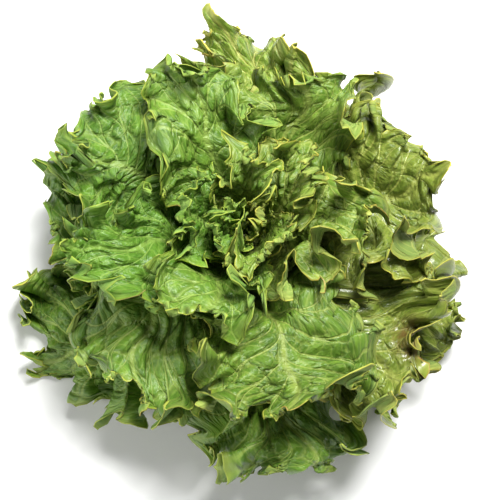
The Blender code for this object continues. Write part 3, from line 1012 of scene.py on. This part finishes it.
def leaf_nodes(net, given):
    """All that is inside the group."""
    place, under = given["Place"], given["Under"]
    patch = net.noise(place, PATCH_SCALE, 3.0)["Fac"]
    grain = net.noise(place, GRAIN_SCALE, 3.0, 0.6)["Fac"]
    crumple = net.noise(place, CRUMPLE_SCALE, 3.0, 0.6)["Fac"]
    puffs, threads = fine_net(net, place)
    grooves = net.ramp(given["Cell"], 0.0, 2.2, 1.0, 0.0)
    veins = drawn_veins(net, given)

    # Painted highlight: the tops of the large blisters get a lighter green than the grooves between
    # them. A random mottle of the blade is added to it.
    light = net.times(net.ramp(given["Cell"], 1.0, 8.0), 0.55)
    light = net.plus(light, net.times(net.ramp(patch, 0.35, 0.7), 0.6))
    colour = net.mix(light, given["Blade"], given["Painted_Highlight"])
    # Painted shade: the blade is darker in the dents of the crumple relief.
    colour = net.mix(net.ramp(crumple, 0.62, 0.38, 0.0, 0.45), colour, given["Blade"])
    # Painted highlight: the crests of the fine grain relief get the lighter highlight green.
    colour = net.mix(net.ramp(grain, 0.4, 0.7, 0.0, 0.35), colour, given["Painted_Highlight"])
    lines = net.math("MAXIMUM", net.times(grooves, 0.50), net.times(threads, 0.32))
    lines = net.math("MAXIMUM", lines, net.times(veins, 0.65))
    colour = net.mix(lines, colour, given["Veins"])
    beneath = net.mix(net.times(lines, 1.2), given["Underside"], given["Veins"])
    colour = net.mix(under, colour, beneath)
    colour = net.mix(net.times(given["Stalk"], 0.75), colour, given["Veins"])
    blotch = net.times(given["Bruise"], net.ramp(crumple, 0.30, 0.62, 0.25, 0.85))
    colour = net.mix(blotch, colour, BRUISE_BROWN)
    colour = margin_colour(net, given, patch, colour)
    # The tint holds painted light on two outer leaves, which are made lighter where they lie in
    # shade.
    colour = net.mix(1.0, colour, given["Tint"], "MULTIPLY")

    height = net.times(crumple, 1.2)
    for pattern, share in ((puffs, 0.6), (grooves, -0.8), (veins, -0.3), (grain, 0.50)):
        height = net.plus(height, net.times(pattern, share))
    rough = net.plus(net.plus(net.times(grain, 0.16), net.times(under, 0.38)), 0.34)
    coat = net.times(net.math("SUBTRACT", 1.0, under), given["Gloss"])
    return {"Colour": colour, "Height": height, "Roughness": rough, "Coat": coat}


def leaf_group():
    group = bpy.data.node_groups.new("leaf_skin", "ShaderNodeTree")
    inputs = [("Place", "Vector"), ("Tint", "Color")]
    inputs += [(name, "Float") for name in (*FACTS, "Gloss")]
    inputs += [(name, "Color") for name in SHADES]
    outputs = [("Colour", "Color"), ("Height", "Float"), ("Roughness", "Float"), ("Coat", "Float")]
    for way, sockets in (("INPUT", inputs), ("OUTPUT", outputs)):
        for name, kind in sockets:
            group.interface.new_socket(name, in_out=way, socket_type="NodeSocket" + kind)
    net = Net(group)
    given = group.nodes.new("NodeGroupInput").outputs
    net.fill(group.nodes.new("NodeGroupOutput"), leaf_nodes(net, given))
    return group


skin = leaf_group()
print("nodes in the leaf group:", len(skin.nodes))

# %% [markdown]
# ## Leaf materials
#
# In the photograph the leaves on the left are a fresh saturated green, those on the right are more
# olive and glossier, and the heart is lighter and yellower. Each has its own material over the same
# group. A little subsurface scattering lets light through the thin blade.

# %% Leaf materials
LEAF_BUMP = 1.2 * MM
SHADING = {
    "Specular IOR Level": 0.45,
    "Coat Roughness": 0.16,
    "Subsurface Weight": 0.12,
    "Subsurface Scale": 1.2 * MM,
    "Subsurface Radius": (0.6, 1.0, 0.2),
}


def leaf_material(name, colours, gloss):
    material, net, shader = new_material(name)
    values = {shade: (*colour, 1.0) for shade, colour in zip(SHADES, colours)}
    values["Gloss"] = gloss
    for socket in (*FACTS, "Place", "Tint"):
        source = net.node("Attribute", attribute_name=socket.lower())
        values[socket] = source["Fac" if socket in FACTS else "Vector"]
    made = net.node("Group", values, node_tree=skin)
    bump = net.node("Bump", {"Height": made["Height"], "Distance": LEAF_BUMP})
    net.fill(shader, SHADING)
    net.fill(shader, {
        "Base Color": made["Colour"],
        "Roughness": made["Roughness"],
        "Coat Weight": made["Coat"],
        "Normal": bump["Normal"],
    })
    return material


# Gloss, and the colours of blade, painted highlight on the blister tops, veins, margin and
# underside.
GREENS = {
    "leaf_green": (
        0.05,
        (0.050, 0.130, 0.012),
        (0.150, 0.300, 0.030),
        (0.300, 0.420, 0.090),
        (0.420, 0.480, 0.060),
        (0.125, 0.245, 0.042),
    ),
    "leaf_olive": (
        0.32,
        (0.090, 0.140, 0.014),
        (0.230, 0.300, 0.040),
        (0.380, 0.420, 0.090),
        (0.520, 0.480, 0.060),
        (0.175, 0.255, 0.048),
    ),
    "leaf_heart": (
        0.05,
        (0.085, 0.165, 0.015),
        (0.240, 0.350, 0.045),
        (0.420, 0.480, 0.110),
        (0.560, 0.520, 0.070),
        (0.195, 0.295, 0.052),
    ),
}
materials = {}
for name, (gloss, *colours) in GREENS.items():
    materials[name] = leaf_material(name, colours, gloss)
print("leaf materials:", sorted(materials))

# %% [markdown]
# ## Making the leaves
#
# Each fine leaf replaces its coarse CAD node, rides on the same body and takes the slot of its
# green. The heart leaves are smaller, so fewer rays do for them.

# %% Make the leaves
OLIVE = (2, 5, 7, 10)

# Rays a knot, rows, and zones: the row where each ends, and its step from one ray to the next.
OUTER_GRID = (16, 32, ((10, 4), (20, 2), (99, 1)))
HEART_GRID = (8, 30, ((7, 4), (16, 2), (99, 1)))

triangles = 0
for leaf in leaves:
    if leaf["name"].startswith("outer"):
        piece = leaf_piece(leaf, *OUTER_GRID)
        finish = "leaf_olive" if leaf["number"] + 1 in OLIVE else "leaf_green"
    else:
        piece = leaf_piece(leaf, *HEART_GRID)
        finish = "leaf_heart"
    piece.data.materials.append(materials[finish])
    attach(piece, "root")
    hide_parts(leaf["name"])
    triangles += len(piece.data.polygons)
print("leaf triangles:", triangles)

# %% [markdown]
# ## The stem
#
# The photograph doesn't show the stem, so it follows other heads: cut from its root, standing on
# the cut face, and cream with a brown ring where the milky sap has dried. The turned CAD solid
# becomes a slightly uneven one, with the same height and nearly the same width.

# %% Stem
STEM_PROFILE = (
    (0.45 * CUT_RADIUS, 0.0),
    (0.8 * CUT_RADIUS, 0.0),
    (CUT_RADIUS, 0.0),
    (0.95 * STEM_RADIUS, 0.45 * CUT_BEVEL),
    (STEM_RADIUS, CUT_BEVEL),
    (0.985 * STEM_RADIUS, 0.5 * FIRST_LEAF_HEIGHT),
    (STEM_RADIUS, FIRST_LEAF_HEIGHT),
    (0.55 * (STEM_RADIUS + STEM_TOP_RADIUS), 0.4 * LAST_LEAF_HEIGHT),
    (STEM_TOP_RADIUS, LAST_LEAF_HEIGHT),
    (0.5 * STEM_TOP_RADIUS, LAST_LEAF_HEIGHT + STEM_ABOVE_LEAVES),
)
STEM_SIDES = 72
SHARP_EDGE = math.radians(50)
PALE_LOW = (0.62, 0.58, 0.34, 1.0)
PALE_HIGH = (0.42, 0.52, 0.20, 1.0)
BLOTCHES = (0.50, 0.42, 0.20, 1.0)
DRIED_SAP = (0.30, 0.13, 0.045, 1.0)
STEM_BUMP = 0.8 * MM


def stem_piece():
    turn = np.linspace(0, 2 * math.pi, STEM_SIDES, endpoint=False)
    uneven = 1 - 0.02 * (1 + np.sin(5 * turn + 0.6)) * (1 + 0.5 * np.sin(11 * turn))
    rings = []
    for radius, height in STEM_PROFILE:
        ring = np.stack([radius * uneven * np.cos(turn), radius * uneven * np.sin(turn)], 1)
        rings.append(np.column_stack([ring, np.full(STEM_SIDES, height)]))
    vertices = np.concatenate(rings)
    faces = []
    for ring in range(0, len(vertices) - STEM_SIDES, STEM_SIDES):
        for side in range(STEM_SIDES):
            here, beside = ring + side, ring + (side + 1) % STEM_SIDES
            faces.append((here, beside, beside + STEM_SIDES, here + STEM_SIDES))
    top = len(vertices) - STEM_SIDES
    faces.append(tuple(reversed(range(STEM_SIDES))))
    faces.append(tuple(range(top, top + STEM_SIDES)))
    mesh = bpy.data.meshes.new("stem_core")
    mesh.from_pydata(vertices.tolist(), [], faces)
    mesh.shade_smooth()
    mesh.set_sharp_from_angle(angle=SHARP_EDGE)
    return added("stem_core", mesh)


def stem_material():
    material, net, shader = new_material("stem")
    where = net.node("TexCoord")["Object"]
    x, y, z = net.node("SeparateXYZ", {0: where})
    radius = net.math("SQRT", net.plus(net.math("POWER", x, 2.0), net.math("POWER", y, 2.0)))
    blotch = net.noise(where, 220.0, 4.0, 0.6)["Fac"]
    wood = net.ramp(net.plus(radius, net.times(blotch, 0.004)), 0.008, 0.0165)
    on_cut = net.ramp(z, 0.0003, 0.004, 1.0, 0.0)
    browned = net.times(net.times(wood, on_cut), 0.85)
    pale = net.mix(net.ramp(z, 0.003, 0.03), PALE_LOW, PALE_HIGH)
    pale = net.mix(net.ramp(blotch, 0.35, 0.75, 0.0, 0.5), pale, BLOTCHES)
    bump = net.node("Bump", {"Height": blotch, "Distance": STEM_BUMP})
    net.fill(shader, {
        "Base Color": net.mix(browned, pale, DRIED_SAP),
        "Roughness": net.ramp(blotch, 0.3, 0.7, 0.42, 0.62),
        "Normal": bump["Normal"],
    })
    return material


stem = stem_piece()
stem.data.materials.append(stem_material())
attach(stem, "root")
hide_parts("stem")
print("stem faces:", len(stem.data.polygons))

# %% [markdown]
# ## Floor, light and camera
#
# The head is seen from almost straight above, on a plain pale floor. The highlights in the
# photograph sit on the upper right of the blisters, so the stronger soft light is there. A larger
# and weaker one fills from the other side, and the background adds a little light all round.

# %% Floor
FLOOR_COLOUR = (0.93, 0.93, 0.92, 1.0)


def floor_piece():
    mesh = bpy.data.meshes.new("floor")
    mesh.from_pydata([(-3, -3, 0), (3, -3, 0), (3, 3, 0), (-3, 3, 0)], [], [(0, 1, 2, 3)])
    material, net, shader = new_material("floor")
    net.fill(shader, {"Base Color": FLOOR_COLOUR, "Roughness": 0.7})
    mesh.materials.append(material)
    return added("floor", mesh)


floor_piece()
print("floor at height 0")

# %% Light
WORLD_STRENGTH = 0.13
LIT_POINT = Vector((0, 0, 0.05))


def faced(thing, towards):
    """Turns a light or a camera, which look along their own -Z, to face that way."""
    thing.rotation_mode = "QUATERNION"
    thing.rotation_quaternion = towards.to_track_quat("-Z", "Y")


def area_light(name, place, size, watts):
    light = bpy.data.lights.new(name, "AREA")
    light.energy = watts
    light.size = size
    lamp = added(name, light)
    lamp.location = place
    faced(lamp, LIT_POINT - lamp.location)


area_light("key", (0.27, 0.42, 1.20), 0.45, 32.0)
area_light("fill", (-1.1, -0.6, 0.7), 0.9, 11.0)
world = bpy.data.worlds.new("studio")
world.use_nodes = True
background = world.node_tree.nodes["Background"].inputs
background["Color"].default_value = (1.0, 1.0, 1.0, 1.0)
background["Strength"].default_value = WORLD_STRENGTH
bpy.context.scene.world = world
bpy.context.scene.view_settings.view_transform = "Standard"
print("area lights:", len(bpy.data.lights))

# %% Camera
ELEVATION = math.radians(75)
LENS = 90
AIM = Vector((0.005, -0.004, 0.045))
DISTANCE = 0.78
camera_data = bpy.data.cameras.new("camera")
camera_data.lens = LENS
camera = added("camera", camera_data)
towards = Vector((0, -math.cos(ELEVATION), math.sin(ELEVATION)))
camera.location = AIM + towards * DISTANCE
faced(camera, -towards)
bpy.context.scene.camera = camera
print("camera at", tuple(round(value, 3) for value in camera.location))
